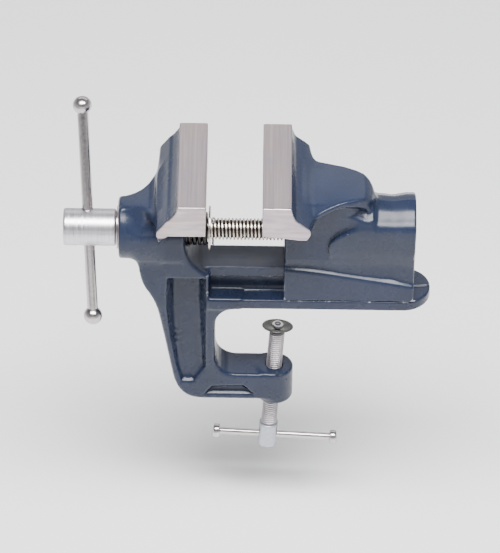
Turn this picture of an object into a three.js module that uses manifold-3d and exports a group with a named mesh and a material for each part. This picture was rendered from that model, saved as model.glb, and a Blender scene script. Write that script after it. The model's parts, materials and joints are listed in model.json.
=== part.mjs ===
// Clamp-on bench vise with 75 mm jaws.
//
// Millimetres, +Z up. +X runs along the main screw from its handle to the rear of the
// moving jaw, +Y is the far side. The origin is on the underside of the guide flange,
// the face that sits on the bench, where the axis of the clamp screw meets it.
//
// The front jaw, the C-shaped clamp leg, the guide beam and the flange are one casting.
// The rear jaw slides on the beam, pulled by the main screw, which the front jaw holds
// endwise between a thrust washer and a sprung retaining washer.

import * as THREE from "three";
import { mergeVertices } from "three/addons/utils/BufferGeometryUtils.js";
import Module from "manifold-3d";

const wasm = await Module();
wasm.setup();

// ---------------------------------------------------------------- driving dimensions

const CLEARANCE = 0.3;
const PAST = 1;
const ROUND = 32;
const ROUND_SMALL = 20;

// jaws
const JAW_HALF = 37.5;
const JAW_TOP = 89.5;
const JAW_UNDER = 69.3;
const JAW_THICK = 15.6;
const JAW_FOOT = 26;
const FIXED_GRIP_X = -41.5;
const MOVING_GRIP_X = -11;

// main screw and what is on it
const SCREW_Z = 45;
const SCREW_R = 6;
const SCREW_END_X = 48;
const HEAD_R = 10.3;
const HEAD_START_X = -120.2;
const HEAD_END_X = -91.1;
const HEAD_ROUND = 1.2;
const BOSS_R = 17;
const BOSS_FACE_X = -89.7;
const THRUST_WASHER_R = 11.8;
const THRUST_WASHER_THICK = 0.8;
const SPRING_R = 9.35;
const SPRING_INNER_R = 7;
const RETAINER_R = 12.6;
const RETAINER_THICK = 1.1;
const RETAINER_X = -40.4;
const PIN_R = 1;
const PIN_X = -37.9;
const PIN_UP = 7.6;
const PIN_DOWN = 9.4;

// main bar
const BAR_X = -106.5;
const BAR_R = 3;
const BAR_LEAN = THREE.MathUtils.degToRad(27);
const BAR_SKEW = THREE.MathUtils.degToRad(3.1);
const BAR_LOW = -50;
const BAR_HIGH = 68;
const BAR_KNOB_R = 5.2;

// neck, guide beam and flange of the fixed casting
const NECK_HALF = 15.4;
const BACK_UNDER = 57.5;
const NECK_BACK_X = -79.3;
const NECK_FRONT_X = -54.4;
const NECK_SHOULDER_X = -68;
const NECK_SHOULDER_Z = 52;
const NECK_FOOT_X = -39.5;
const NECK_FOOT_Z = 23.5;
const BEAM_TOP = 25.6;
const BEAM_UNDER = 18.8;
const BEAM_HALF = 9.6;
const BEAM_WEB_HALF = 5.6;
const BEAM_END_X = 66;
const FLANGE_TOP = 6.5;
const FLANGE_HALF = 15.4;
const FLANGE_TIP_X = 82.9;

// clamp leg and arm
const THROAT_X = -36.4;
const THROAT_ROUND_TOP = 14;
const THROAT_ROUND_LOW = 12.5;
const ARM_TOP = -53.4;
const ARM_UNDER = -71.8;
const ARM_HALF = 10.3;
const ARM_BOSS_X = -2.6;
const ARM_BOSS_UNDER = -74.9;
const POCKET_FLOOR = 6.5;
const ARM_POCKET_FLOOR = 7.5;

// moving jaw
const SLIDE_FRONT_X = 1.5;
const SLIDE_REAR_X = 73.1;
const SKIRT_HALF = 15.3;
const SKIRT_FRONT_TOP = 31;
const SKIRT_REAR_TOP = 22;
const WALL_HALF = 13.4;
const CORE_END_X = 38;
const BARREL_HALF = 16.4;
const BARREL_FOOT_HALF = 12.6;
const BARREL_TOP = 68;
const BARREL_FRONT_X = 22;
const DOME_TOP = 75.7;
const NUT_R = 9;
const NUT_SHOULDER_R = 10.6;
const NUT_SHOULDER_THICK = 3;
const NUT_FRONT_X = 12;
const NUT_SEAT_X = 28;
const CAVITY_R = 11;
const SCREW_WAY_R = 7;

// clamp screw, its pad and its bar, measured along the clamp axis from the bench face
const CLAMP_LEAN = THREE.MathUtils.degToRad(3.16);
const CLAMP_R = 4.4;
const CLAMP_SHOULDER = -97.1;
const CLAMP_HEAD_R = 5.35;
const CLAMP_HEAD_END = -113;
const CLAMP_THREAD_TOP = -27.6;
const TIP_R = 1.5;
const TIP_TOP = -23.2;
const PAD_AT = -25.5;
const PAD_TILT = THREE.MathUtils.degToRad(15);
const PAD_R = 8.75;
const PAD_HOLE_R = 2.2;
const PAD_THICK = 1.3;
const RING_R = 3;
const RING_LOW = -24.1;
const CLAMP_BAR_AT = -106.4;
const CLAMP_BAR_R = 1.95;
const CLAMP_BAR_LEFT = -29.7;
const CLAMP_BAR_RIGHT = 37.7;
const CLAMP_KNOB_R = 4;
const CLAMP_KNOB_LONG = 4.4;

// ---------------------------------------------------------------- geometry helpers

// A closed mesh as a solid that can be cut and joined.
function solid(geometry) {
  const bare = geometry.clone();
  bare.deleteAttribute("normal");
  bare.deleteAttribute("uv");
  const welded = mergeVertices(bare, 1e-4);
  return new wasm.Manifold(new wasm.Mesh({
    numProp: 3,
    vertProperties: new Float32Array(welded.attributes.position.array),
    triVerts: new Uint32Array(welded.index.array),
  }));
}

// The solid's surface as a geometry.
function surface(body) {
  const mesh = body.getMesh();
  const geometry = new THREE.BufferGeometry();
  geometry.setAttribute("position", new THREE.BufferAttribute(new Float32Array(mesh.vertProperties), 3));
  geometry.setIndex(new THREE.BufferAttribute(new Uint32Array(mesh.triVerts), 1));
  geometry.computeVertexNormals();
  return geometry;
}

function outline(points) {
  return new THREE.Shape(points.map(([a, b]) => new THREE.Vector2(a, b)));
}

// A plan outline given by one side's (x, y) points and mirrored to the other side.
function symmetric(side) {
  const mirrored = side.map(([x, y]) => [x, -y]).reverse();
  return outline([...side, ...mirrored]);
}

function extruded(shape, length) {
  return new THREE.ExtrudeGeometry(shape, { depth: length, bevelEnabled: false, curveSegments: 10 });
}

// A plan outline (x, y) carried up from low to high.
function prismZ(shape, low, high) {
  return solid(extruded(shape, high - low).translate(0, 0, low));
}

// A side outline (x, z) carried across from near to far.
function prismY(shape, near, far) {
  return solid(extruded(shape, far - near).translate(0, 0, -far).rotateX(Math.PI / 2));
}

// An end outline (y, z) carried along X.
function prismX(shape, start, end) {
  const along = new THREE.Matrix4().makeBasis(
    new THREE.Vector3(0, 1, 0),
    new THREE.Vector3(0, 0, 1),
    new THREE.Vector3(1, 0, 0),
  );
  return solid(extruded(shape, end - start).translate(0, 0, start).applyMatrix4(along));
}

function block(x0, x1, y0, y1, z0, z1) {
  const box = new THREE.BoxGeometry(x1 - x0, y1 - y0, z1 - z0);
  return solid(box.translate((x0 + x1) / 2, (y0 + y1) / 2, (z0 + z1) / 2));
}

// A round bar about the Z axis of its own frame.
function rodZ(radius, low, high, sides = ROUND) {
  const rod = new THREE.CylinderGeometry(radius, radius, high - low, sides);
  return solid(rod.rotateX(Math.PI / 2).translate(0, 0, (low + high) / 2));
}

// A round bar along X at the height of the main screw.
function rodX(radius, start, end, sides = ROUND, height = SCREW_Z) {
  const rod = new THREE.CylinderGeometry(radius, radius, end - start, sides);
  return solid(rod.rotateZ(Math.PI / 2).translate((start + end) / 2, 0, height));
}

// A piece turned about Z from a profile of (radius, height) points, lowest first.
function turned(profile, sides = ROUND) {
  const points = profile.map(([r, z]) => new THREE.Vector2(r, z));
  return solid(new THREE.LatheGeometry(points, sides).rotateX(Math.PI / 2));
}

// A flat ring about Z.
function ringZ(outer, inner, low, high, sides = ROUND) {
  return rodZ(outer, low, high, sides).subtract(rodZ(inner, low - PAST, high + PAST, sides));
}

// Moves a solid made about Z onto the main screw's axis, with its Z along X.
const ALONG_SCREW = new THREE.Matrix4()
  .makeTranslation(0, 0, SCREW_Z)
  .multiply(new THREE.Matrix4().makeRotationY(Math.PI / 2));

function placed(body, matrix) {
  return body.transform(matrix.elements);
}

function mesh(name, body, color, roughness, metalness) {
  const material = new THREE.MeshStandardMaterial({ color, roughness, metalness });
  const piece = new THREE.Mesh(surface(body), material);
  piece.name = name;
  return piece;
}

const painted = (name, body) => mesh(name, body, 0x4b5873, 0.3, 0.1);
const polished = (name, body) => mesh(name, body, 0xc9c6c6, 0.2, 1);
const zinc = (name, body) => mesh(name, body, 0xa9adb3, 0.45, 1);
const oiled = (name, body) => mesh(name, body, 0x2a2b2e, 0.4, 0.8);

// ---------------------------------------------------------------- frames of the two bars

// The main bar's own frame: Z along the bar, origin on the main screw's axis.
const barAxis = new THREE.Vector3(
  -Math.sin(BAR_SKEW),
  Math.cos(BAR_SKEW) * Math.sin(BAR_LEAN),
  Math.cos(BAR_SKEW) * Math.cos(BAR_LEAN),
);
const barFrame = new THREE.Matrix4().compose(
  new THREE.Vector3(BAR_X, 0, SCREW_Z),
  new THREE.Quaternion().setFromUnitVectors(new THREE.Vector3(0, 0, 1), barAxis),
  new THREE.Vector3(1, 1, 1),
);

// The clamp's own frame: Z up the clamp screw, origin on the bench face.
const clampFrame = new THREE.Matrix4().makeRotationY(CLAMP_LEAN);

// The clamp bar's frame inside the clamp's: Z along the bar, which lies across the screw.
const clampBarFrame = new THREE.Matrix4()
  .makeTranslation(0, 0, CLAMP_BAR_AT)
  .multiply(new THREE.Matrix4().makeRotationY(Math.PI / 2));

// ---------------------------------------------------------------- fixed casting

// Side outline of the leg and arm: down the curved back, along the arm, up the throat.
function clampOutline() {
  const shape = new THREE.Shape();
  shape.moveTo(NECK_FRONT_X, SCREW_Z);
  shape.lineTo(NECK_BACK_X, SCREW_Z);
  shape.lineTo(NECK_BACK_X, 33);
  shape.bezierCurveTo(NECK_BACK_X, 18, -68.4, 8, -67.6, -7);
  shape.lineTo(-60.3, -53);
  shape.bezierCurveTo(-58.5, -66, -52, ARM_UNDER, -43, ARM_UNDER);
  shape.lineTo(ARM_BOSS_X, ARM_UNDER);
  shape.lineTo(ARM_BOSS_X, ARM_TOP);
  shape.lineTo(THROAT_X + THROAT_ROUND_LOW, ARM_TOP);
  shape.absarc(THROAT_X + THROAT_ROUND_LOW, ARM_TOP + THROAT_ROUND_LOW, THROAT_ROUND_LOW,
    -Math.PI / 2, -Math.PI, true);
  shape.absarc(THROAT_X + THROAT_ROUND_TOP, -THROAT_ROUND_TOP, THROAT_ROUND_TOP,
    Math.PI, Math.PI / 2, true);
  shape.lineTo(THROAT_X + THROAT_ROUND_TOP, FLANGE_TOP);
  shape.lineTo(NECK_FOOT_X, FLANGE_TOP);
  shape.lineTo(NECK_FOOT_X, NECK_FOOT_Z);
  shape.bezierCurveTo(-46.5, 27, NECK_FRONT_X, 36, NECK_FRONT_X, SCREW_Z);
  return shape;
}

// Seen from the end, the leg narrows from the neck's width to the arm's.
function legTaper() {
  const side = [
    [NECK_HALF, SCREW_Z + PAST],
    [NECK_HALF, 0],
    [ARM_HALF, ARM_TOP],
    [ARM_HALF, ARM_UNDER - PAST],
  ];
  const mirrored = side.map(([y, z]) => [-y, z]).reverse();
  return prismX(outline([...mirrored, ...side]), NECK_BACK_X - PAST, ARM_BOSS_X + PAST);
}

function flange() {
  const centre = FLANGE_TIP_X - FLANGE_HALF;
  const plan = new THREE.Shape();
  plan.moveTo(NECK_FRONT_X, -FLANGE_HALF);
  plan.lineTo(centre, -FLANGE_HALF);
  plan.absarc(centre, 0, FLANGE_HALF, -Math.PI / 2, Math.PI / 2, false);
  plan.lineTo(NECK_FRONT_X, FLANGE_HALF);
  return prismZ(plan, 0, FLANGE_TOP);
}

// The raised rib on the flange's tip, on its centre line.
function tipRib() {
  const rib = outline([
    [BEAM_END_X, -2.4],
    [FLANGE_TIP_X - 1, -0.4],
    [FLANGE_TIP_X - 1, 0.4],
    [BEAM_END_X, 2.4],
  ]);
  return prismZ(rib, FLANGE_TOP - PAST, FLANGE_TOP + 0.8);
}

function fixedWing() {
  const back = FIXED_GRIP_X - JAW_THICK;
  const foot = FIXED_GRIP_X - JAW_FOOT;
  return prismY(outline([
    [FIXED_GRIP_X, JAW_UNDER],
    [FIXED_GRIP_X, JAW_TOP],
    [back, JAW_TOP],
    [back, 86.2],
    [foot, 71.6],
    [foot, JAW_UNDER],
  ]), -JAW_HALF, JAW_HALF);
}

// The back of the fixed jaw sweeps down from the wing to the boss, narrowing like a bell.
function fixedBack() {
  const side = prismY(outline([
    [FIXED_GRIP_X - 10, BACK_UNDER],
    [FIXED_GRIP_X - 10, JAW_UNDER + PAST],
    [-67.4, 71.4],
    [-69.6, 69],
    [-75.5, 66.2],
    [-80.3, 63.8],
    [-80.3, BACK_UNDER],
  ]), -JAW_HALF, JAW_HALF);
  const bell = [[-60, 21.8], [-69.3, 21.8], [-72, 15], [-75.5, 10.3], [-81, 6.8]];
  return side.intersect(prismZ(symmetric(bell), BACK_UNDER - PAST, JAW_TOP));
}

function legPocket(side) {
  const hollow = outline([
    [-63.3, 21.5],
    [-63.5, -2],
    [-61.7, -23],
    [-58.5, -46.5],
    [-55.4, -59.4],
    [-48, -59.4],
    [-41.6, -48],
    [-41.6, 21.5],
  ]);
  return side < 0
    ? prismY(hollow, -NECK_HALF - PAST, -POCKET_FLOOR)
    : prismY(hollow, POCKET_FLOOR, NECK_HALF + PAST);
}

function armPocket(side) {
  const hollow = outline([[-42.4, -68.6], [-37.5, -61.6], [-19.8, -60.8], [-13.5, -68.6]]);
  return side < 0
    ? prismY(hollow, -ARM_HALF - PAST, -ARM_POCKET_FLOOR)
    : prismY(hollow, ARM_POCKET_FLOOR, ARM_HALF + PAST);
}

function fixedCasting() {
  const clamp = prismY(clampOutline(), -NECK_HALF, NECK_HALF).intersect(legTaper());
  const neckLow = NECK_SHOULDER_Z - 14;
  const scoop = rodX(SPRING_R + PAST, NECK_FRONT_X, NECK_FOOT_X + PAST);
  return clamp
    .add(block(NECK_BACK_X, NECK_FRONT_X, -NECK_HALF, NECK_HALF, neckLow, NECK_SHOULDER_Z))
    .subtract(scoop)
    .add(block(NECK_SHOULDER_X, NECK_FRONT_X, -NECK_HALF, NECK_HALF, neckLow, JAW_UNDER + PAST))
    .add(fixedWing())
    .add(fixedBack())
    .add(rodX(BOSS_R, BOSS_FACE_X, NECK_FRONT_X - 5))
    .add(flange())
    .add(tipRib())
    .add(block(NECK_FRONT_X - PAST, BEAM_END_X, -BEAM_HALF, BEAM_HALF, BEAM_UNDER, BEAM_TOP))
    .add(block(NECK_FRONT_X, BEAM_END_X, -BEAM_WEB_HALF, BEAM_WEB_HALF, FLANGE_TOP - PAST, BEAM_UNDER + PAST))
    .add(rodZ(ARM_HALF, ARM_BOSS_UNDER, ARM_TOP).translate(ARM_BOSS_X, 0, 0))
    .subtract(legPocket(-1))
    .subtract(legPocket(1))
    .subtract(armPocket(-1))
    .subtract(armPocket(1))
    .subtract(rodX(SCREW_R + CLEARANCE, BOSS_FACE_X - PAST, FIXED_GRIP_X))
    .subtract(placed(rodZ(CLAMP_R + CLEARANCE, ARM_BOSS_UNDER - 3, ARM_TOP + 3), clampFrame));
}

// ---------------------------------------------------------------- moving jaw

// The moving wing's back is hollowed and ends in a rounded toe.
function movingWing() {
  const profile = [
    [0, JAW_UNDER + 0.4],
    [0, JAW_TOP],
    [JAW_THICK, JAW_TOP],
    [JAW_THICK, JAW_TOP - 1.4],
    [JAW_THICK + 1.2, JAW_TOP - 4.8],
    [JAW_THICK + 2.2, JAW_TOP - 7.4],
    [JAW_THICK + 4.1, JAW_TOP - 9],
    [JAW_THICK + 9.1, JAW_TOP - 13.9],
    [JAW_FOOT, JAW_TOP - 15.6],
    [JAW_FOOT, JAW_TOP - 17.6],
    [JAW_FOOT - 1.4, JAW_TOP - 19.8],
    [JAW_FOOT - 3, JAW_UNDER - 0.4],
    [JAW_FOOT - 12, JAW_UNDER - 0.6],
  ];
  return prismY(outline(profile.map(([x, z]) => [MOVING_GRIP_X + x, z])), -JAW_HALF, JAW_HALF);
}

// A low dome behind the wing, bell-shaped in plan, that runs down to the barrel.
function dome() {
  const side = prismY(outline([
    [5, 55],
    [50, 55],
    [49.2, 70.5],
    [44.6, 73.7],
    [36, DOME_TOP],
    [25, DOME_TOP],
    [15, 73.2],
    [5, 73.2],
  ]), -JAW_HALF, JAW_HALF);
  const bell = [
    [5, 36],
    [13.8, 36],
    [16.3, 30.5],
    [20, 25],
    [25.5, 20.8],
    [32, 17.4],
    [39, 15.2],
    [44.6, 9.6],
    [49, 2.5],
  ];
  const narrowed = bell.map(([x, y]) => [x, Math.min(y, WALL_HALF + 3)]);
  const upper = side.intersect(prismZ(symmetric(bell), JAW_UNDER - 2, JAW_TOP));
  const lower = side.intersect(prismZ(symmetric(narrowed), 50, JAW_UNDER));
  return upper.add(lower);
}

// End outline of the barrel: walls that swell upwards, under a low arch.
function barrelOutline() {
  const side = [
    [BARREL_FOOT_HALF, SKIRT_REAR_TOP - PAST],
    [BARREL_FOOT_HALF + 0.8, 33],
    [BARREL_HALF - 1.2, 41],
    [BARREL_HALF - 0.2, 50],
    [BARREL_HALF, 57.5],
    [BARREL_HALF - 0.6, 60.9],
    [BARREL_HALF - 2.2, 63.2],
    [BARREL_HALF - 5.2, 65.4],
    [BARREL_HALF - 10.4, 67.3],
    [0, BARREL_TOP],
  ];
  const mirrored = side.slice(0, -1).map(([y, z]) => [-y, z]).reverse();
  return outline([...side, ...mirrored]);
}

// The two legs that run on the flange, whose ledge falls towards the rear.
function skirt() {
  return prismY(outline([
    [SLIDE_FRONT_X, FLANGE_TOP + CLEARANCE],
    [SLIDE_REAR_X, FLANGE_TOP + CLEARANCE],
    [SLIDE_REAR_X, SKIRT_REAR_TOP],
    [35, 28],
    [12, SKIRT_FRONT_TOP],
    [SLIDE_FRONT_X, SKIRT_FRONT_TOP],
  ]), -SKIRT_HALF, SKIRT_HALF);
}

// The slot that fits round the guide beam's head and web.
function beamSlot() {
  const start = SLIDE_FRONT_X - PAST;
  const end = SLIDE_REAR_X + PAST;
  const head = block(start, end, -BEAM_HALF - CLEARANCE, BEAM_HALF + CLEARANCE,
    BEAM_UNDER - CLEARANCE, BEAM_TOP + CLEARANCE);
  const web = block(start, end, -BEAM_WEB_HALF - CLEARANCE, BEAM_WEB_HALF + CLEARANCE,
    0, BEAM_UNDER);
  return head.add(web);
}

function movingCasting() {
  return movingWing()
    .add(dome())
    .add(block(SLIDE_FRONT_X, CORE_END_X, -WALL_HALF, WALL_HALF, SKIRT_REAR_TOP, JAW_UNDER + PAST))
    .add(prismX(barrelOutline(), BARREL_FRONT_X, SLIDE_REAR_X))
    .add(skirt())
    .subtract(beamSlot())
    .subtract(rodX(SCREW_WAY_R, SLIDE_FRONT_X - PAST, NUT_FRONT_X + PAST))
    .subtract(rodX(NUT_R + CLEARANCE, NUT_FRONT_X - CLEARANCE, NUT_SEAT_X + PAST))
    .subtract(rodX(CAVITY_R, NUT_SEAT_X, SLIDE_REAR_X + PAST))
    .subtract(block(SLIDE_REAR_X - 14, SLIDE_REAR_X + PAST, -2.8, 2.8, FLANGE_TOP - PAST, FLANGE_TOP + 1.2));
}

// A flanged bush pressed in from the rear, so that the screw pulls it onto its shoulder.
function mainNut() {
  const start = NUT_SEAT_X + CLEARANCE;
  return rodX(NUT_R, NUT_FRONT_X, start + PAST)
    .add(rodX(NUT_SHOULDER_R, start, start + NUT_SHOULDER_THICK))
    .subtract(rodX(SCREW_R + CLEARANCE, NUT_FRONT_X - PAST, start + NUT_SHOULDER_THICK + PAST));
}

// ---------------------------------------------------------------- main screw group

function mainScrew() {
  const head = turned([
    [0, HEAD_START_X],
    [HEAD_R - HEAD_ROUND, HEAD_START_X],
    [HEAD_R, HEAD_START_X + HEAD_ROUND],
    [HEAD_R, HEAD_END_X],
    [0, HEAD_END_X],
  ]);
  const shank = rodZ(SCREW_R, HEAD_END_X - PAST, SCREW_END_X);
  return placed(head.add(shank), ALONG_SCREW)
    .subtract(placed(rodZ(BAR_R + CLEARANCE, -HEAD_R - 3, HEAD_R + 3, ROUND_SMALL), barFrame))
    .subtract(splitPinBody(PIN_R + CLEARANCE, SCREW_R + PAST, SCREW_R + PAST));
}

function splitPinBody(radius, up, down) {
  return rodZ(radius, -down, up, 12).translate(PIN_X, 0, SCREW_Z);
}

function thrustWasher() {
  const middle = (HEAD_END_X + BOSS_FACE_X) / 2;
  return placed(ringZ(THRUST_WASHER_R, SCREW_R + CLEARANCE,
    middle - THRUST_WASHER_THICK / 2, middle + THRUST_WASHER_THICK / 2), ALONG_SCREW);
}

function retainingWasher() {
  return placed(ringZ(RETAINER_R, SCREW_R + CLEARANCE, RETAINER_X, RETAINER_X + RETAINER_THICK), ALONG_SCREW);
}

// The outer shape of the coil spring between the neck and the retaining washer.
function jawSpring() {
  return placed(ringZ(SPRING_R, SPRING_INNER_R, NECK_FRONT_X + CLEARANCE, RETAINER_X - CLEARANCE,
    ROUND_SMALL), ALONG_SCREW);
}

// ---------------------------------------------------------------- bars and knobs

// A ball-ended knob about Z with a blind hole for the bar, which comes from below.
function ballKnob(radius, holeRadius, holeDepth) {
  const steps = 10;
  const profile = [[0, -radius * 0.8]];
  for (let i = 0; i <= steps; i += 1) {
    const angle = -Math.asin(0.8) + (i / steps) * (Math.PI / 2 + Math.asin(0.8));
    profile.push([radius * Math.cos(angle), radius * Math.sin(angle)]);
  }
  profile[profile.length - 1][0] = 0;
  return turned(profile, ROUND_SMALL)
    .subtract(rodZ(holeRadius, -radius - PAST, -radius * 0.8 + holeDepth, ROUND_SMALL));
}

// A short button knob about Z with rounded edges and a blind hole from below.
function buttonKnob(radius, length, holeRadius, holeDepth) {
  const edge = 0.9;
  return turned([
    [0, -length / 2],
    [radius - edge, -length / 2],
    [radius, -length / 2 + edge],
    [radius, length / 2 - edge],
    [radius - edge, length / 2],
    [0, length / 2],
  ], ROUND_SMALL).subtract(rodZ(holeRadius, -length / 2 - PAST, -length / 2 + holeDepth, ROUND_SMALL));
}

const FLIP = new THREE.Matrix4().makeRotationX(Math.PI);

function mainBarPieces() {
  const depth = 4;
  const seat = BAR_KNOB_R * 0.8 - depth + CLEARANCE;
  const knob = ballKnob(BAR_KNOB_R, BAR_R + CLEARANCE, depth);
  const upper = new THREE.Matrix4().makeTranslation(0, 0, BAR_HIGH);
  const lower = new THREE.Matrix4().makeTranslation(0, 0, BAR_LOW).multiply(FLIP);
  return [
    polished("main_bar", rodZ(BAR_R, BAR_LOW + seat, BAR_HIGH - seat, ROUND_SMALL)),
    polished("main_bar_knob_upper", placed(knob, upper)),
    polished("main_bar_knob_lower", placed(knob, lower)),
  ];
}

function clampBarPieces() {
  const depth = 3;
  const seat = CLAMP_KNOB_LONG / 2 - depth + CLEARANCE;
  const knob = buttonKnob(CLAMP_KNOB_R, CLAMP_KNOB_LONG, CLAMP_BAR_R + CLEARANCE, depth);
  const right = new THREE.Matrix4().makeTranslation(0, 0, CLAMP_BAR_RIGHT);
  const left = new THREE.Matrix4().makeTranslation(0, 0, CLAMP_BAR_LEFT).multiply(FLIP);
  return [
    polished("clamp_bar", rodZ(CLAMP_BAR_R, CLAMP_BAR_LEFT + seat, CLAMP_BAR_RIGHT - seat, ROUND_SMALL)),
    polished("clamp_bar_knob_left", placed(knob, left)),
    polished("clamp_bar_knob_right", placed(knob, right)),
  ];
}

// ---------------------------------------------------------------- clamp screw and pad

function clampScrew() {
  const neckLow = CLAMP_THREAD_TOP - PAST;
  const acrossHead = placed(rodZ(CLAMP_BAR_R + CLEARANCE, -CLAMP_HEAD_R - PAST, CLAMP_HEAD_R + PAST,
    ROUND_SMALL), clampBarFrame);
  return rodZ(CLAMP_R, CLAMP_SHOULDER - PAST, CLAMP_THREAD_TOP)
    .add(rodZ(CLAMP_HEAD_R, CLAMP_HEAD_END, CLAMP_SHOULDER))
    .add(rodZ(TIP_R, neckLow, TIP_TOP, ROUND_SMALL))
    .subtract(acrossHead);
}

// The swivel pad: a dished disc with a flat rim and a loose hole on the screw's tip.
function clampPad() {
  return turned([
    [PAD_HOLE_R, -PAD_THICK / 2],
    [PAD_R - 0.6, -PAD_THICK / 2 + 0.3],
    [PAD_R, PAD_THICK / 2],
    [PAD_R - 4, PAD_THICK / 2],
    [PAD_HOLE_R + 1, 0],
    [PAD_HOLE_R, 0],
    [PAD_HOLE_R, -PAD_THICK / 2],
  ]);
}

function padRing() {
  return ringZ(RING_R, TIP_R + CLEARANCE, RING_LOW, TIP_TOP - 0.1, ROUND_SMALL);
}

// ---------------------------------------------------------------- assembly

const vise = new THREE.Group();

vise.add(painted("fixed_body", fixedCasting()));
vise.add(painted("moving_jaw", movingCasting()));
vise.add(polished("main_nut", mainNut()));

vise.add(polished("main_screw", mainScrew()));
vise.add(polished("thrust_washer", thrustWasher()));
vise.add(oiled("jaw_spring", jawSpring()));
vise.add(polished("retaining_washer", retainingWasher()));
vise.add(zinc("split_pin", splitPinBody(PIN_R, PIN_UP, PIN_DOWN)));

const mainBar = new THREE.Group();
mainBar.applyMatrix4(barFrame);
mainBar.add(...mainBarPieces());
vise.add(mainBar);

const clamp = new THREE.Group();
clamp.applyMatrix4(clampFrame);
clamp.add(zinc("clamp_screw", clampScrew()));
clamp.add(polished("pad_ring", padRing()));
const pad = polished("clamp_pad", clampPad());
pad.position.set(0, 0, PAD_AT);
pad.rotation.x = -PAD_TILT;
clamp.add(pad);
const clampBar = new THREE.Group();
clampBar.applyMatrix4(clampBarFrame);
clampBar.add(...clampBarPieces());
clamp.add(clampBar);
vise.add(clamp);

export default vise;
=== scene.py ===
import json
import math

import bmesh
import bpy
import numpy as np
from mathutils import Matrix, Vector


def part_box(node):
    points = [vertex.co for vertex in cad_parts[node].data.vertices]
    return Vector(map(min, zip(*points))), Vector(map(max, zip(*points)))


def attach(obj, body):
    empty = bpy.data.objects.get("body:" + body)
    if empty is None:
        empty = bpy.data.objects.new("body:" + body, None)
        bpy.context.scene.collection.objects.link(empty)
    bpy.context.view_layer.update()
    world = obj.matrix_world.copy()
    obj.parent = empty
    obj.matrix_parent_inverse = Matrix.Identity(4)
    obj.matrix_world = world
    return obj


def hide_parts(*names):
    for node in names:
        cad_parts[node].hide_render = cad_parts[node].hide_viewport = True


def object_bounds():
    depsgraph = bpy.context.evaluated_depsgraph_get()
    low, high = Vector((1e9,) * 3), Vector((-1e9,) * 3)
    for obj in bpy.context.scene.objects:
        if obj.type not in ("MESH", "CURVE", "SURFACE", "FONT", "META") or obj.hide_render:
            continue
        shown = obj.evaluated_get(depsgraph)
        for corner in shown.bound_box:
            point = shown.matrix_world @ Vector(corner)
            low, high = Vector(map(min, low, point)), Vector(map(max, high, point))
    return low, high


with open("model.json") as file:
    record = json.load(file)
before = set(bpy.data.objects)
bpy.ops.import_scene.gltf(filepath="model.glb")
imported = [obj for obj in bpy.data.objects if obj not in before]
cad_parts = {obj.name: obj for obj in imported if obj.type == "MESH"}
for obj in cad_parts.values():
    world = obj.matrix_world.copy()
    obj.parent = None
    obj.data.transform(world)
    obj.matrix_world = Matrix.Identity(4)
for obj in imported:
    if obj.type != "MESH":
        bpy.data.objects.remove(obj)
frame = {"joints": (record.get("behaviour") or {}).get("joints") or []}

import openvdb
from mathutils import Matrix, Vector

CAD_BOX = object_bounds()
MM = 0.001


# ------------------------------------------------------------------ places from the frame

def box_mm(node):
    low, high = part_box(node)
    return np.array(low) / MM, np.array(high) / MM


def middle(node):
    low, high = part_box(node)
    return (Vector(low) + Vector(high)) / 2


def joint(name):
    return next(j for j in frame["joints"] if j["name"] == name)


FIXED_LOW, FIXED_HIGH = box_mm("fixed_body")
MOVING_LOW, MOVING_HIGH = box_mm("moving_jaw")
SCREW_LOW, SCREW_HIGH = box_mm("main_screw")
CLAMP_AXIS = Vector(joint("clamp_turn")["axis"]).normalized()
BAR_AXIS = Vector(joint("bar_slide")["axis"]).normalized()
CLAMP_BAR_AXIS = Vector(joint("clamp_bar_slide")["axis"]).normalized()
SCREW_Z = joint("screw_turn")["pos_m"][2] / MM
BAR_MIDDLE = middle("main_bar")
BAR_CENTRE = BAR_MIDDLE + BAR_AXIS * ((SCREW_Z * MM - BAR_MIDDLE.z) / BAR_AXIS.z)
CLAMP_BAR_CENTRE = CLAMP_AXIS * middle("clamp_bar").dot(CLAMP_AXIS)

JAW_HALF = FIXED_HIGH[1]
JAW_TOP = FIXED_HIGH[2]
JAW_UNDER = 69.3
JAW_THICK = 15.6
JAW_FOOT = 26.0
FIXED_GRIP_X = -41.5
MOVING_GRIP_X = MOVING_LOW[0]

BOSS_R = 17.0
BOSS_FACE_X = FIXED_LOW[0]
NECK_HALF = 15.4
NECK_BACK_X = -79.3
NECK_FRONT_X = -54.4
NECK_SHOULDER_X = -67.0
NECK_SHOULDER_Z = 50.0
NECK_FOOT_X = -39.9
NECK_FOOT_Z = 23.5
BEAM_TOP = 25.6
BEAM_UNDER = 18.8
BEAM_HALF = 9.6
BEAM_WEB_HALF = 5.6
BEAM_END_X = 66.0
FLANGE_TOP = 6.5
FLANGE_HALF = 15.4
FLANGE_TIP_X = FIXED_HIGH[0]
THROAT_X = -36.4
ARM_TOP = -53.4
ARM_UNDER = -71.8
ARM_HALF = 10.3
ARM_BOSS_X = -2.6
ARM_BOSS_UNDER = FIXED_LOW[2]

SLIDE_FRONT_X = 1.5
SLIDE_REAR_X = MOVING_HIGH[0]
SKIRT_HALF = 15.3
SKIRT_UNDER = MOVING_LOW[2]
CORE_HALF = 13.4
CORE_END_X = 49.0
SCREW_R = 6.0
HEAD_R = (SCREW_HIGH[1] - SCREW_LOW[1]) / 2
HEAD_START_X = SCREW_LOW[0]
HEAD_END_X = -91.1
SCREW_END_X = SCREW_HIGH[0]
SCREW_PITCH = 2.0
BAR_R = 3.0
KNOB_R = 5.2

VOXEL = 0.6


# ------------------------------------------------------------------ distance fields, in mm

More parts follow.
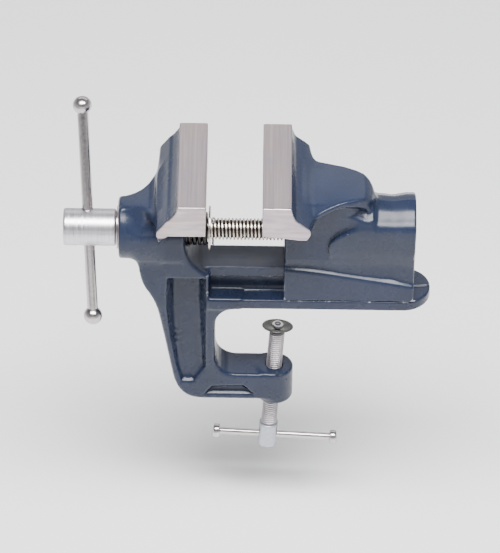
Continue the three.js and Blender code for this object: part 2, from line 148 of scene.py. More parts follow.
class Field:
    """A regular grid of points; every shape below is a signed distance on it."""

    def __init__(self, low, high, step):
        margin = 3 * step
        axes = [np.arange(a - margin, b + margin, step, dtype=np.float32) for a, b in zip(low, high)]
        self.start = np.array([axis[0] for axis in axes])
        self.step = step
        self.x = axes[0][:, None, None]
        self.y = axes[1][None, :, None]
        self.z = axes[2][None, None, :]
        self.across = np.abs(self.y)


def smooth_min(a, b, radius):
    overlap = np.maximum(1 - np.abs(a - b) / radius, 0)
    return np.minimum(a, b) - overlap * overlap * radius / 4


def smooth_max(a, b, radius):
    return -smooth_min(-a, -b, radius)


def cut(a, b, radius):
    return smooth_max(a, -b, radius)


def rounded_and(a, b, radius):
    """Where two slabs meet, with the outer edge rounded to the radius."""
    a = a + radius
    b = b + radius
    outside = np.sqrt(np.maximum(a, 0) ** 2 + np.maximum(b, 0) ** 2)
    return outside + np.minimum(np.maximum(a, b), 0) - radius


def slab(values, low, high):
    return np.abs(values - (low + high) / 2) - (high - low) / 2


def polygon(u, v, points):
    """Signed distance to a closed outline in the plane of u and v."""
    shape = np.broadcast(u, v).shape
    nearest = np.full(shape, 1e9, dtype=np.float32)
    inside = np.zeros(shape, dtype=bool)
    ends = np.array(points, dtype=np.float32)
    for (ax, ay), (bx, by) in zip(ends, np.roll(ends, -1, axis=0)):
        ex, ey = bx - ax, by - ay
        t = np.clip(((u - ax) * ex + (v - ay) * ey) / (ex * ex + ey * ey + 1e-9), 0, 1)
        nearest = np.minimum(nearest, (u - ax - t * ex) ** 2 + (v - ay - t * ey) ** 2)
        if ey != 0:
            crosses = (ay > v) != (by > v)
            inside ^= crosses & (u < ex * (v - ay) / ey + ax)
    return np.where(inside, -1, 1) * np.sqrt(nearest)


def arc(cx, cy, radius, start, end, steps=8):
    angles = np.radians(np.linspace(start, end, steps + 1))
    return [(cx + radius * math.cos(a), cy + radius * math.sin(a)) for a in angles]


def bezier(p0, p1, p2, p3, steps=10):
    t = np.linspace(0, 1, steps + 1)[:, None]
    p0, p1, p2, p3 = (np.array(p) for p in (p0, p1, p2, p3))
    curve = (1 - t) ** 3 * p0 + 3 * (1 - t) ** 2 * t * p1 + 3 * (1 - t) * t * t * p2 + t ** 3 * p3
    return [tuple(p) for p in curve]


def spline(points, steps=6):
    """A smooth curve through the points (Catmull-Rom), as a list of points."""
    p = np.array(points, dtype=float)
    p = np.vstack([2 * p[0] - p[1], p, 2 * p[-1] - p[-2]])
    curve = []
    for i in range(1, len(p) - 2):
        for t in np.arange(steps) / steps:
            curve.append(0.5 * (2 * p[i] + (p[i + 1] - p[i - 1]) * t
                + (2 * p[i - 1] - 5 * p[i] + 4 * p[i + 1] - p[i + 2]) * t * t
                + (3 * p[i] - p[i - 1] - 3 * p[i + 1] + p[i + 2]) * t ** 3))
    curve.append(p[-2])
    return [tuple(q) for q in curve]


def along(values, points):
    """A height or width that follows a smooth curve through the points."""
    curve = np.array(spline(sorted(points)))
    return np.interp(values, curve[:, 0], curve[:, 1]).astype(np.float32)


def slope_scale(values, points, step=0.5):
    rise = (along(values + step, points) - along(values - step, points)) / (2 * step)
    return 1 / np.sqrt(1 + rise * rise)


def screw_bore(f, radius, start, end, rounding=0.4):
    around = np.sqrt(f.y ** 2 + (f.z - SCREW_Z) ** 2) - radius
    return rounded_and(around, slab(f.x, start, end), rounding)


def sampled(values, points):
    """The values at points given in grid steps, and their slope, both by trilinear interpolation."""
    cell = np.clip(np.floor(points).astype(int), 0, np.array(values.shape) - 2)
    t = points - cell
    corners = {}
    for i in (0, 1):
        for j in (0, 1):
            for k in (0, 1):
                corners[i, j, k] = values[cell[:, 0] + i, cell[:, 1] + j, cell[:, 2] + k]
    slope = np.zeros_like(points)
    value = np.zeros(len(points))
    for (i, j, k), corner in corners.items():
        wx = t[:, 0] if i else 1 - t[:, 0]
        wy = t[:, 1] if j else 1 - t[:, 1]
        wz = t[:, 2] if k else 1 - t[:, 2]
        value += wx * wy * wz * corner
        slope[:, 0] += (1 if i else -1) * wy * wz * corner
        slope[:, 1] += (1 if j else -1) * wx * wz * corner
        slope[:, 2] += (1 if k else -1) * wx * wy * corner
    return value, slope


NEWTON_STEPS = 3


def field_mesh(name, f, distance):
    """The field's zero surface as a mesh, with each vertex moved onto it."""
    limit = 4 * f.step
    values = np.clip(distance, -limit, limit).astype(np.float64)
    grid = openvdb.FloatGrid(limit)
    grid.copyFromArray(values)
    points, quads = grid.convertToQuads(0.0)
    points = points.astype(np.float64)
    for _ in range(NEWTON_STEPS):
        value, slope = sampled(values, points)
        steepness = np.maximum((slope ** 2).sum(axis=1), 0.1 * f.step ** 2)
        move = np.clip(value / steepness, -0.5 / f.step, 0.5 / f.step)
        points -= slope * move[:, None]
    points = (points * f.step + f.start) * MM
    data = bpy.data.meshes.new(name)
    data.from_pydata(points.tolist(), [], quads[:, ::-1].tolist())
    data.update()
    obj = bpy.data.objects.new(name, data)
    bpy.context.collection.objects.link(obj)
    data.polygons.foreach_set("use_smooth", [True] * len(data.polygons))
    mark_edges(data, (points / MM - f.start) / f.step, values, f.step)
    return obj


EDGE_REACH = 1.6


def mark_edges(data, points, values, step):
    """Stores how far each vertex sticks out of its surroundings, as edge, or sinks into them, as hollow."""
    total = np.zeros(len(points))
    for axis in range(3):
        for side in (-EDGE_REACH, EDGE_REACH):
            offset = np.zeros(3)
            offset[axis] = side / step
            total += sampled(values, points + offset)[0]
    bend = total / EDGE_REACH
    for name, amount in (("edge", bend), ("hollow", -bend)):
        layer = data.attributes.new(name, "FLOAT", "POINT")
        layer.data.foreach_set("value", np.clip(amount, 0, 2).astype(np.float32))


# ------------------------------------------------------------------ fixed casting

WING_BACK = [
    (FIXED_GRIP_X, JAW_UNDER),
    (FIXED_GRIP_X, JAW_TOP),
    (FIXED_GRIP_X - JAW_THICK, JAW_TOP),
    (FIXED_GRIP_X - JAW_THICK - 0.2, 86.3),
    (FIXED_GRIP_X - JAW_THICK - 1.4, 84.4),
    (FIXED_GRIP_X - JAW_FOOT + 0.4, 72.6),
    (FIXED_GRIP_X - JAW_FOOT, 71.4),
    (FIXED_GRIP_X - JAW_FOOT, JAW_UNDER),
]
# The web behind the jaw: its top's height and its half width, along X.
BACK_TOP = [(-62, 79), (-67.4, 71.8), (-69.6, 68.9), (-72.5, 67.3), (-75.5, 66.2), (-80.5, 63.9), (-86, 61)]
BACK_WIDTH = [
    (-62, 60), (-66.5, 44), (-67.8, 33), (-69.3, 22),
    (-72, 15.3), (-75.5, 10.4), (-80, 6.8), (-86, 4),
]
BACK_THICK = 5.0
SPRING_SPACE_R = 10.3
CLAMP_BORE_R = 4.75
THROAT_LOW_R = 12.5
THROAT_HIGH_R = 14


def leg_outline():
    back = bezier((NECK_BACK_X, 50), (NECK_BACK_X, 26), (-78.5, 18), (-73, 9.6), 8)
    back += bezier((-73, 9.6), (-68.6, 2), (-67.8, -5), (-66.2, -14.8), 6)[1:]
    back += bezier((-66.2, -14.8), (-63.5, -31), (-61.8, -44), (-60.2, -53.6), 4)[1:]
    back += bezier((-60.2, -53.6), (-58, -66), (-53, ARM_UNDER), (-43, ARM_UNDER), 8)[1:]
    arm = [(ARM_BOSS_X, ARM_UNDER), (ARM_BOSS_X, ARM_TOP)]
    throat = arc(THROAT_X + THROAT_LOW_R, ARM_TOP + THROAT_LOW_R, THROAT_LOW_R, -90, -180)
    throat += arc(THROAT_X + THROAT_HIGH_R, -THROAT_HIGH_R, THROAT_HIGH_R, 180, 90)
    front = [(THROAT_X + THROAT_HIGH_R, FLANGE_TOP), (NECK_FOOT_X, FLANGE_TOP)]
    foot = (NECK_FOOT_X, NECK_FOOT_Z)
    front += bezier(foot, (-46.5, 27), (NECK_FRONT_X, 36), (NECK_FRONT_X, SCREW_Z + 3), 10)
    return back + arm + throat + front


LEG_POCKET = [
    (-63.1, 21.3), (-63.6, 8), (-63.5, -2), (-61.7, -23), (-58.5, -46.5),
    (-55.6, -58.8), (-48, -59), (-41.5, -48), (-41.3, 21.3),
]
LEG_WEB_HALF = 6.4
ARM_POCKET = [(-42.6, -68.2), (-38, -61.9), (-20, -61), (-13.6, -68.2)]
ARM_WEB_HALF = 7.4


def leg_half(z):
    """Half the leg's width, which narrows from the neck to the arm."""
    heights = [ARM_TOP - 3, ARM_TOP + 4, 0, 3]
    return np.interp(z, heights, [ARM_HALF, ARM_HALF + 0.3, NECK_HALF - 0.2, NECK_HALF])


def pocket(f, outline, floor, half, draft, corner):
    """A recess in both sides whose walls open outwards; floor is half the web that it leaves."""
    wall = (polygon(f.x, f.z, outline) + draft * (half - f.across)) / math.hypot(1, draft)
    return smooth_max(wall, floor - f.across, corner)


def cast_ripple(f, size, seed):
    """Slow unevenness of a sand-cast surface, within a unit either way."""
    rng = np.random.default_rng(seed)
    total = np.zeros(np.broadcast(f.x, f.y, f.z).shape, dtype=np.float32)
    for _ in range(5):
        direction = rng.normal(size=3)
        direction *= 2 * math.pi / (size * np.linalg.norm(direction) * rng.uniform(0.7, 1.4))
        phase = rng.uniform(0, 2 * math.pi)
        total += np.sin(direction[0] * f.x + direction[1] * f.y + direction[2] * f.z + phase)
    return total / 5


def fixed_upper_distance(f):
    """Leg, neck, screw boss and fixed jaw."""
    wing = rounded_and(polygon(f.x, f.z, WING_BACK), f.across - JAW_HALF, 0.5)
    top = (f.z - along(f.x, BACK_TOP)) * slope_scale(f.x, BACK_TOP)
    side = (f.across - along(f.x, BACK_WIDTH)) * slope_scale(f.x, BACK_WIDTH)
    canopy = smooth_max(smooth_max(top, side, 1.6), -BACK_THICK - top, 2.0)
    canopy = smooth_max(canopy, slab(f.x, -86, -60), 1.0)

    leg = rounded_and(polygon(f.x, f.z, leg_outline()), f.across - leg_half(f.z), 2.2)
    neck = rounded_and(slab(f.x, NECK_BACK_X, NECK_FRONT_X), f.across - NECK_HALF, 2.0)
    neck = smooth_max(neck, slab(f.z, SCREW_Z - 10, NECK_SHOULDER_Z), 2.0)
    web = rounded_and(slab(f.x, NECK_SHOULDER_X, NECK_FRONT_X), f.across - NECK_HALF + 1, 2.0)
    web = smooth_max(web, slab(f.z, SCREW_Z - 10, JAW_UNDER + 1), 1.0)
    boss = screw_bore(f, BOSS_R, BOSS_FACE_X, NECK_SHOULDER_X, 1.6)
    scoop = screw_bore(f, SPRING_SPACE_R, NECK_FRONT_X, NECK_FOOT_X + 5, 0.6)

    body = smooth_min(leg, neck, 1.5)
    body = cut(body, scoop, 1.0)
    body = smooth_min(body, boss, 6.0)
    body = smooth_min(body, web, 4.0)
    body = smooth_min(body, canopy, 7.0)
    body = smooth_max(body, f.across - JAW_HALF + 0.6, 1.0)
    body = smooth_min(body, wing, 3.0)
    return np.maximum(body, f.across - JAW_HALF)


def beam_distance(f):
    """The guide beam on its web and flange, with the small rib past its end."""
    plan = rounded_and(slab(f.x, -60, FLANGE_TIP_X - FLANGE_HALF), f.across - FLANGE_HALF, 0.1)
    tip = np.sqrt((f.x - FLANGE_TIP_X + FLANGE_HALF) ** 2 + f.y ** 2) - FLANGE_HALF
    flange = rounded_and(np.minimum(plan, tip), slab(f.z, 0, FLANGE_TOP), 1.1)
    head = rounded_and(slab(f.x, -62, BEAM_END_X), f.across - BEAM_HALF, 0.1)
    head = rounded_and(head, slab(f.z, BEAM_UNDER, BEAM_TOP), 0.5)
    web = rounded_and(slab(f.x, -62, BEAM_END_X), f.across - BEAM_WEB_HALF, 0.3)
    web = rounded_and(web, slab(f.z, 1, BEAM_UNDER + 3), 0.3)
    rib_half = np.interp(f.x, [BEAM_END_X, FLANGE_TIP_X - 1], [2.6, 0.4])
    rib = rounded_and(f.across - rib_half, slab(f.z, 3, FLANGE_TOP + 0.9), 0.4)
    rib = rounded_and(rib, slab(f.x, BEAM_END_X - 2, FLANGE_TIP_X - 1), 0.4)
    beam = smooth_min(smooth_min(flange, web, 4.0), head, 1.5)
    return smooth_min(beam, rib, 1.0)


def tapped_bore(f):
    """The clamp screw's leaning hole through the arm's end."""
    lean = (f.x - CLAMP_AXIS.x / CLAMP_AXIS.z * f.z) * CLAMP_AXIS.z
    around = np.sqrt(lean ** 2 + f.y ** 2) - CLAMP_BORE_R
    return rounded_and(around, slab(f.z, ARM_BOSS_UNDER - 5, ARM_TOP + 5), 0.1)


def fixed_distance(f):
    body = smooth_min(fixed_upper_distance(f), beam_distance(f), 2.5)
    around = np.sqrt((f.x - ARM_BOSS_X) ** 2 + f.y ** 2) - ARM_HALF
    end = rounded_and(around, slab(f.z, ARM_BOSS_UNDER, ARM_TOP), 1.3)
    body = smooth_min(body, end, 3.0)

    rough = 0.35 * cast_ripple(f, 3.2, 7) * cast_ripple(f, 11, 3)
    body = cut(body, pocket(f, LEG_POCKET, LEG_WEB_HALF, leg_half(f.z), 0.4, 3.0) + rough, 1.6)
    body = cut(body, pocket(f, ARM_POCKET, ARM_WEB_HALF, ARM_HALF, 0.5, 1.6), 1.2)

    body = cut(body, screw_bore(f, SCREW_R + 0.35, BOSS_FACE_X - 5, FIXED_GRIP_X), 0.4)
    return cut(body, tapped_bore(f), 0.6)


# ------------------------------------------------------------------ moving casting

def moving_wing_outline():
    g = MOVING_GRIP_X
    t = JAW_TOP
    back = spline([
        (g + 15.7, t - 1.2),
        (g + 16.4, t - 4.2),
        (g + 17.9, t - 7.6),
        (g + 20.4, t - 9.9),
        (g + 23.8, t - 12.6),
        (g + 25.7, t - 15.2),
        (g + 25.9, t - 18),
        (g + 24.2, t - 20.3),
        (g + 21.5, t - 20.8),
    ])
    return [(g, JAW_UNDER + 0.4), (g, t), (g + JAW_THICK, t)] + back + [(g + 12, t - 20.8)]


# The web behind the jaw: its top's height and its half width, along X.
DOME_TOP = [
    (2, 80), (8, 77.4), (12, 76.8), (17, 76.2), (25, 77.4), (33, 78),
    (38, 77.6), (42, 76.4), (46.5, 73.4), (50, 69), (52, 64),
]
DOME_WIDTH = [
    (2, 60), (10.5, 44), (12, 37.4), (14, 31.5), (17, 26), (21, 22.6), (25, 20.3), (30, 17.8),
    (36, 15.2), (42, 11.8), (46.5, 8.6), (49, 4), (50, 0), (54, -14),
]
DOME_THICK = 3.2
DOME_CROWN = 0.003

# The core under it: half width at heights, and the height from which its end leans back.
CORE_HEIGHTS = [22, 29, 35, 52, 72]
CORE_WIDTHS = [12.4, 12.8, CORE_HALF + 0.3, CORE_HALF, CORE_HALF + 1.6]
CORE_TOP = 74.5
CORE_LEAN_FROM = 56
CORE_TAPER_FROM = 66

# The barrel's section as (half width, height), and where its nose starts as (height, X).
BARREL = [
    (12.4, 18), (12.8, 29), (13.7, 34), (15.1, 41), (16.1, 49), (16.6, 54.5),
    (16.4, 57.4), (15.5, 59.2), (13.6, 60.9), (10.7, 62.6), (6, 65.4), (0, 67),
]
BARREL_NOSE = [
    (18, 33), (27, 29), (32, 27.4), (37, 26), (42.5, 25.4), (47, 26),
    (50, 27.8), (53.3, 31.5), (56, 36), (58, 39.5), (61, 41.5), (72, 42),
]
BARREL_WAIST_X = 61
BARREL_RIM_X = 60
NUT_BORE_R = 11.0

# The skirt's sloping ledge: its outer edge's height along X, and how steeply it rises inwards.
LEDGE_EDGE = [(0, 28.2), (14, 26.8), (32, 23.9), (65, 17.9), (80, 15.2)]
LEDGE_RISE = 0.72
LEDGE_SCALE = 0.81


def barrel_distance(f):
    """Walls that swell upwards under a low arch, closed in front by a rounded nose."""
    side = spline(BARREL, 4)
    section = polygon(f.across, f.z, side + [(-4, 68), (-4, 18)])
    rim = 0.6 * np.clip((f.x - BARREL_RIM_X) / 8, 0, 1)
    waist = 0.7 * np.exp(-((f.x - BARREL_WAIST_X) / 4.5) ** 2)
    section = section - (rim - waist)
    nose = along(f.z, BARREL_NOSE) - f.x
    body = rounded_and(section, nose, 1.4)
    return rounded_and(body, f.x - SLIDE_REAR_X, 1.2)


def core_distance(f, top, side):
    """The block between the jaw and the barrel, which stays inside the web's top and side."""
    half = np.interp(f.z, CORE_HEIGHTS, CORE_WIDTHS)
    end = CORE_END_X - 0.1 * np.maximum(f.z - CORE_LEAN_FROM, 0)
    core = rounded_and(np.maximum(SLIDE_FRONT_X - f.x, f.x - end), f.across - half, 2.0)
    core = smooth_max(core, slab(f.z, 12, CORE_TOP), 1.0)
    core = smooth_max(core, top + 0.6, 0.6)
    return smooth_max(core, side + 0.8 - 1.2 * np.maximum(CORE_TAPER_FROM - f.z, 0), 1.5)


def skirt_distance(f):
    slope = (f.z - along(f.x, LEDGE_EDGE) + LEDGE_RISE * (f.across - SKIRT_HALF)) * LEDGE_SCALE
    skirt = rounded_and(f.across - SKIRT_HALF, slope, 0.9)
    skirt = rounded_and(skirt, SKIRT_UNDER - f.z, 0.6)
    return rounded_and(skirt, slab(f.x, SLIDE_FRONT_X, SLIDE_REAR_X), 0.8)


def slide_slot(f):
    """The space for the beam and its web."""
    gap = 0.3
    head = slab(f.z, BEAM_UNDER - gap, BEAM_TOP + gap)
    slot = rounded_and(f.across - BEAM_HALF - gap, head, 0.2)
    web = rounded_and(f.across - BEAM_WEB_HALF - 0.4, slab(f.z, -5, BEAM_UNDER + 1), 0.2)
    ends = slab(f.x, SLIDE_FRONT_X - 9, SLIDE_REAR_X + 9)
    return np.maximum(np.minimum(slot, web), ends)


def moving_distance(f):
    wing = rounded_and(polygon(f.x, f.z, moving_wing_outline()), f.across - JAW_HALF, 0.5)

    crown = DOME_CROWN * f.across ** 2
    top = (f.z + crown - along(f.x, DOME_TOP)) * slope_scale(f.x, DOME_TOP)
    side = (f.across - along(f.x, DOME_WIDTH)) * slope_scale(f.x, DOME_WIDTH)
    canopy = smooth_max(smooth_max(top, side, 1.3), -DOME_THICK - top, 1.0)
    canopy = smooth_max(canopy, slab(f.x, 6, 56), 1.0)

    upper_blend = np.interp(f.z, [50, 60], [0.8, 5.0])
    rear_blend = np.interp(f.x, [34, 44], [2.4, 6.0])
    body = smooth_min(core_distance(f, top, side), barrel_distance(f), upper_blend)
    body = smooth_min(body, canopy, rear_blend)
    body = smooth_max(body, f.across - JAW_HALF + 0.6, 1.0)
    body = smooth_min(body, wing, 5.0)
    body = np.maximum(body, f.across - JAW_HALF)
    body = smooth_min(body, skirt_distance(f), 0.9)

    body = cut(body, slide_slot(f), 0.5)
    body = cut(body, screw_bore(f, SCREW_R + 1, SLIDE_FRONT_X - 5, 40), 0.6)
    return cut(body, screw_bore(f, NUT_BORE_R, 28, SLIDE_REAR_X + 5), 0.8)


# ------------------------------------------------------------------ turned and threaded pieces

def mesh_piece(name, vertices, faces, smooth=True):
    data = bpy.data.meshes.new(name)
    data.from_pydata([tuple(v) for v in vertices], [], [tuple(face) for face in faces])
    data.update()
    obj = bpy.data.objects.new(name, data)
    bpy.context.collection.objects.link(obj)
    data.polygons.foreach_set("use_smooth", [smooth] * len(data.polygons))
    return obj


def revolve(name, profile, matrix, sides=96, closed=False):
    """Turns (radius, height) points, in mm, about the matrix's Z axis."""
    rings = []
    vertices = []
    for radius, height in profile:
        if radius < 1e-6:
            rings.append([len(vertices)])
            vertices.append((0, 0, height))
            continue
        rings.append(list(range(len(vertices), len(vertices) + sides)))
        for i in range(sides):
            angle = 2 * math.pi * i / sides
            vertices.append((radius * math.cos(angle), radius * math.sin(angle), height))
    faces = []
    pairs = list(zip(rings, rings[1:]))
    if closed:
        pairs.append((rings[-1], rings[0]))
    for low, high in pairs:
        for i in range(sides):
            j = (i + 1) % sides
            face = [low[i % len(low)], low[j % len(low)], high[j % len(high)], high[i % len(high)]]
            faces.append(list(dict.fromkeys(face)))
    placed = [matrix @ Vector((x * MM, y * MM, z * MM)) for x, y, z in vertices]
    piece = mesh_piece(name, placed, faces)
    sharpen(piece)
    return piece


def smooth(piece):
    piece.data.polygons.foreach_set("use_smooth", [True] * len(piece.data.polygons))


def sharpen(piece, angle=32):
    piece.data.set_sharp_from_angle(angle=math.radians(angle))


def bevelled(points, size, steps=3):
    """Rounds the corners of an open (radius, height) profile, keeping its two ends."""
    out = [points[0]]
    for before, corner, after in zip(points, points[1:], points[2:]):
        b, c, a = (np.array(p, dtype=float) for p in (before, corner, after))
        into = (b - c) / np.linalg.norm(b - c)
        away = (a - c) / np.linalg.norm(a - c)
        reach = min(size, np.linalg.norm(b - c) * 0.45, np.linalg.norm(a - c) * 0.45)
        for t in np.linspace(0, 1, steps + 1):
            p = c + into * reach * (1 - t) ** 2 + away * reach * t ** 2
            out.append(tuple(p))
    out.append(points[-1])
    return out


def axis_matrix(origin, axis):
    """A frame, in metres, whose Z runs along the axis from the origin."""
    turn = Vector((0, 0, 1)).rotation_difference(Vector(axis)).to_matrix().to_4x4()
    return Matrix.Translation(Vector(origin)) @ turn


ALONG_SCREW = axis_matrix((0, 0, SCREW_Z * MM), (1, 0, 0))
CLAMP_FRAME = axis_matrix((0, 0, 0), CLAMP_AXIS)


THREAD_SHAPE = [(0.0, 1.0), (0.3, 1.0), (0.52, 0.08), (0.58, 0.0), (0.7, 0.0), (0.78, 0.08)]
END_CHAMFER = 0.9
WELD = 2e-6


def threaded(name, radius, pitch, depth, low, high, matrix, sides=48):
    """A right-hand thread with flat crests and narrow roots, chamfered at each end."""
    turns = int((high - low) / pitch) + 2
    rows = [(turn + where, lift) for turn in range(-1, turns + 1) for where, lift in THREAD_SHAPE]
    vertices = []
    roots = []
    for along_turns, lift in rows:
        for i in range(sides + 1):
            angle = 2 * math.pi * i / sides
            z = min(max(low + (along_turns + i / sides) * pitch, low), high)
            chamfer = min(z - low, high - z) * END_CHAMFER
            r = radius - depth + min(depth * lift, chamfer)
            vertices.append(matrix @ (Vector((r * math.cos(angle), r * math.sin(angle), z)) * MM))
            roots.append(1 - (r - radius + depth) / depth)
    width = sides + 1
    faces = []
    for j in range(len(rows) - 1):
        for i in range(sides):
            a = j * width + i
            faces.append((a, a + 1, a + 1 + width, a + width))
    piece = mesh_piece(name, vertices, faces)
    piece.data.attributes.new("root", "FLOAT", "POINT").data.foreach_set("value", roots)
    work = bmesh.new()
    work.from_mesh(piece.data)
    bmesh.ops.remove_doubles(work, verts=work.verts, dist=WELD)
    bmesh.ops.dissolve_degenerate(work, dist=WELD, edges=work.edges)
    bmesh.ops.holes_fill(work, edges=[e for e in work.edges if e.is_boundary], sides=0)
    bmesh.ops.recalc_face_normals(work, faces=work.faces)
    work.to_mesh(piece.data)
    work.free()
    smooth(piece)
    sharpen(piece, 30)
    return piece


def tube(name, path, radius, sides=14):
    """A round wire along a list of points in metres, with round ends."""
    points = [Vector(p) for p in path]
    n = len(points)
    vertices = []
    side = None
    for i in range(n):
        ahead = (points[min(i + 1, n - 1)] - points[max(i - 1, 0)]).normalized()
        if side is None:
            side = ahead.orthogonal().normalized()
        side = (side - ahead * side.dot(ahead)).normalized()
        other = ahead.cross(side)
        for k in range(sides):
            angle = 2 * math.pi * k / sides
            vertices.append(points[i] + (side * math.cos(angle) + other * math.sin(angle)) * radius)
    faces = []
    for i in range(n - 1):
        for k in range(sides):
            a = i * sides + k
            b = i * sides + (k + 1) % sides
            faces.append((a, b, b + sides, a + sides))
    faces.append(tuple(reversed(range(sides))))
    faces.append(tuple(range((n - 1) * sides, n * sides)))
    piece = mesh_piece(name, vertices, faces)
    sharpen(piece, 50)
    return piece


def drill(piece, radius, reach, matrix, sides):
    """Cuts a round hole along the matrix's Z axis, reach either way."""
    tool = revolve("hole", [(0, -reach), (radius, -reach), (radius, reach), (0, reach)], matrix, sides)
    change = piece.modifiers.new("cut", "BOOLEAN")
    change.operation = "DIFFERENCE"
    change.solver = "EXACT"
    change.object = tool
    graph = bpy.context.evaluated_depsgraph_get()
    data = bpy.data.meshes.new_from_object(piece.evaluated_get(graph))
    piece.modifiers.clear()
    piece.data = data
    bpy.data.objects.remove(tool)
    smooth(piece)
    sharpen(piece, 40)


# ------------------------------------------------------------------ materials

def material(name, color, roughness, metallic=0.0, **extra):
    m = bpy.data.materials.new(name)
    m.use_nodes = True
    shader = m.node_tree.nodes["Principled BSDF"]
    shader.inputs["Base Color"].default_value = (*color, 1)
    shader.inputs["Roughness"].default_value = roughness
    shader.inputs["Metallic"].default_value = metallic
    for socket, value in extra.items():
        shader.inputs[socket.replace("_", " ")].default_value = value
    return m


def srgb(r, g, b):
    def linear(c):
        c = c / 255
        return c / 12.92 if c <= 0.04045 else ((c + 0.055) / 1.055) ** 2.4
    return linear(r), linear(g), linear(b)


class Nodes:
    """Shorthand for building one material's node tree."""

    def __init__(self, m):
        self.tree = m.node_tree
        self.shader = self.tree.nodes["Principled BSDF"]
        self.place = self.add("ShaderNodeTexCoord").outputs["Object"]

    def add(self, kind, **values):
        node = self.tree.nodes.new(kind)
        for key, value in values.items():
            setattr(node, key, value)
        return node

    def link(self, a, b):
        self.tree.links.new(a, b)

    def scaled(self, scale):
        mapping = self.add("ShaderNodeMapping")
        mapping.inputs["Scale"].default_value = scale
        self.link(self.place, mapping.inputs["Vector"])
        return mapping.outputs["Vector"]

    def noise(self, scale, detail=3.0, rough=0.55, vector=None, distortion=0.0):
        node = self.add("ShaderNodeTexNoise")
        node.inputs["Scale"].default_value = scale
        node.inputs["Detail"].default_value = detail
        node.inputs["Roughness"].default_value = rough
        node.inputs["Distortion"].default_value = distortion
        self.link(vector or self.place, node.inputs["Vector"])
        return node.outputs["Fac"]

    def ramp(self, value, stops):
        node = self.add("ShaderNodeValToRGB")
        ramp = node.color_ramp
        while len(ramp.elements) < len(stops):
            ramp.elements.new(0.5)
        for element, (where, color) in zip(ramp.elements, stops):
            element.position = where
            element.color = (*color, 1) if len(color) == 3 else color
        self.link(value, node.inputs["Fac"])
        return node.outputs["Color"]

    def attribute(self, name):
        node = self.add("ShaderNodeAttribute", attribute_name=name)
        return node.outputs["Fac"]

    def set(self, socket, value):
        if isinstance(value, bpy.types.NodeSocket):
            self.link(value, socket)
        elif isinstance(value, tuple):
            socket.default_value = (*value, 1)
        else:
            socket.default_value = value

    def math(self, operation, a, b):
        node = self.add("ShaderNodeMath", operation=operation)
        self.set(node.inputs[0], a)
        self.set(node.inputs[1], b)
        return node.outputs["Value"]

    def mix(self, factor, a, b):
        node = self.add("ShaderNodeMix", data_type="RGBA")
        self.set(node.inputs[0], factor)
        self.set(node.inputs[6], a)
        self.set(node.inputs[7], b)
        return node.outputs[2]

    def remap(self, value, a, b, c, d):
        node = self.add("ShaderNodeMapRange")
        node.inputs["From Min"].default_value = a
        node.inputs["From Max"].default_value = b
        node.inputs["To Min"].default_value = c
        node.inputs["To Max"].default_value = d
        self.link(value, node.inputs["Value"])
        return node.outputs["Result"]

    def bump(self, height, strength, distance, normal=None):
        node = self.add("ShaderNodeBump")
        node.inputs["Strength"].default_value = strength
        node.inputs["Distance"].default_value = distance
        self.link(height, node.inputs["Height"])
        if normal is not None:
            self.link(normal, node.inputs["Normal"])
        return node.outputs["Normal"]


def paint_material():
    """Glossy slate-blue enamel on a casting, with painted shade darkening it in its hollows, chipped to the
    metal along its sharpest edges.
    """
    m = material("slate_blue_enamel", srgb(31, 39, 58), 0.2, Coat_Weight=0.2, Coat_Roughness=0.17,
        Specular_IOR_Level=0.2)
    n = Nodes(m)
    tone = n.ramp(n.noise(28, 4), [(0.3, srgb(28, 35, 52)), (0.7, srgb(34, 42, 63))])
    # Painted shade: the colour is mixed towards a darker blue where the surface sinks into a hollow.
    hollow = n.remap(n.attribute("hollow"), 0.1, 1.2, 0, 0.55)
    enamel = n.mix(hollow, tone, srgb(16, 21, 32))
    edge = n.math("MULTIPLY", n.attribute("edge"), n.remap(n.noise(95, 6, 0.75), 0.35, 0.68, 0.1, 1.3))
    corner = n.remap(n.attribute("edge"), 0.8, 1.1, 0, 1)
    chip = n.math("MULTIPLY", n.remap(edge, 1.15, 1.45, 0, 1), corner)
    metal = n.ramp(n.noise(420, 3), [(0.3, srgb(120, 122, 134)), (0.7, srgb(182, 180, 186))])
    n.link(n.mix(chip, enamel, metal), n.shader.inputs["Base Color"])
    n.link(n.math("MULTIPLY", chip, 0.85), n.shader.inputs["Metallic"])
    gloss = n.remap(n.noise(90, 4), 0.3, 0.7, 0.22, 0.34)
    n.link(n.math("ADD", gloss, n.math("MULTIPLY", chip, 0.15)), n.shader.inputs["Roughness"])
    orange_peel = n.bump(n.noise(700, 2), 0.1, 0.0002)
    cast = n.bump(n.noise(130, 3), 0.22, 0.0006, orange_peel)
    rough_cast = n.math("MULTIPLY", n.noise(330, 4, 0.6), n.remap(n.attribute("hollow"), 0.35, 0.9, 0, 1))
    n.link(n.bump(rough_cast, 0.5, 0.0008, cast), n.shader.inputs["Normal"])
    return m


def ground_material(name, stretch, contrast=1.0):
    """Steel ground in one direction: fine lines stretched along it, and slow warm and cool patches."""
    m = material(name, srgb(172, 162, 164), 0.36, 1.0)
    n = Nodes(m)
    lines = n.noise(1.0, 4, 0.6, n.scaled(stretch))
    spread = 0.2 * contrast
    color = n.ramp(lines, [(0.5 - spread, srgb(142, 133, 139)), (0.5, srgb(166, 156, 161)),
        (0.5 + spread, srgb(190, 180, 181))])
    warm = n.ramp(n.noise(45, 3), [(0.35, srgb(184, 174, 188)), (0.65, srgb(204, 184, 174))])
    n.link(n.mix(0.35, color, warm), n.shader.inputs["Base Color"])
    n.link(n.remap(lines, 0.3, 0.7, 0.3, 0.44), n.shader.inputs["Roughness"])
    n.link(n.bump(lines, 0.2 * contrast, 0.0001), n.shader.inputs["Normal"])
    return m


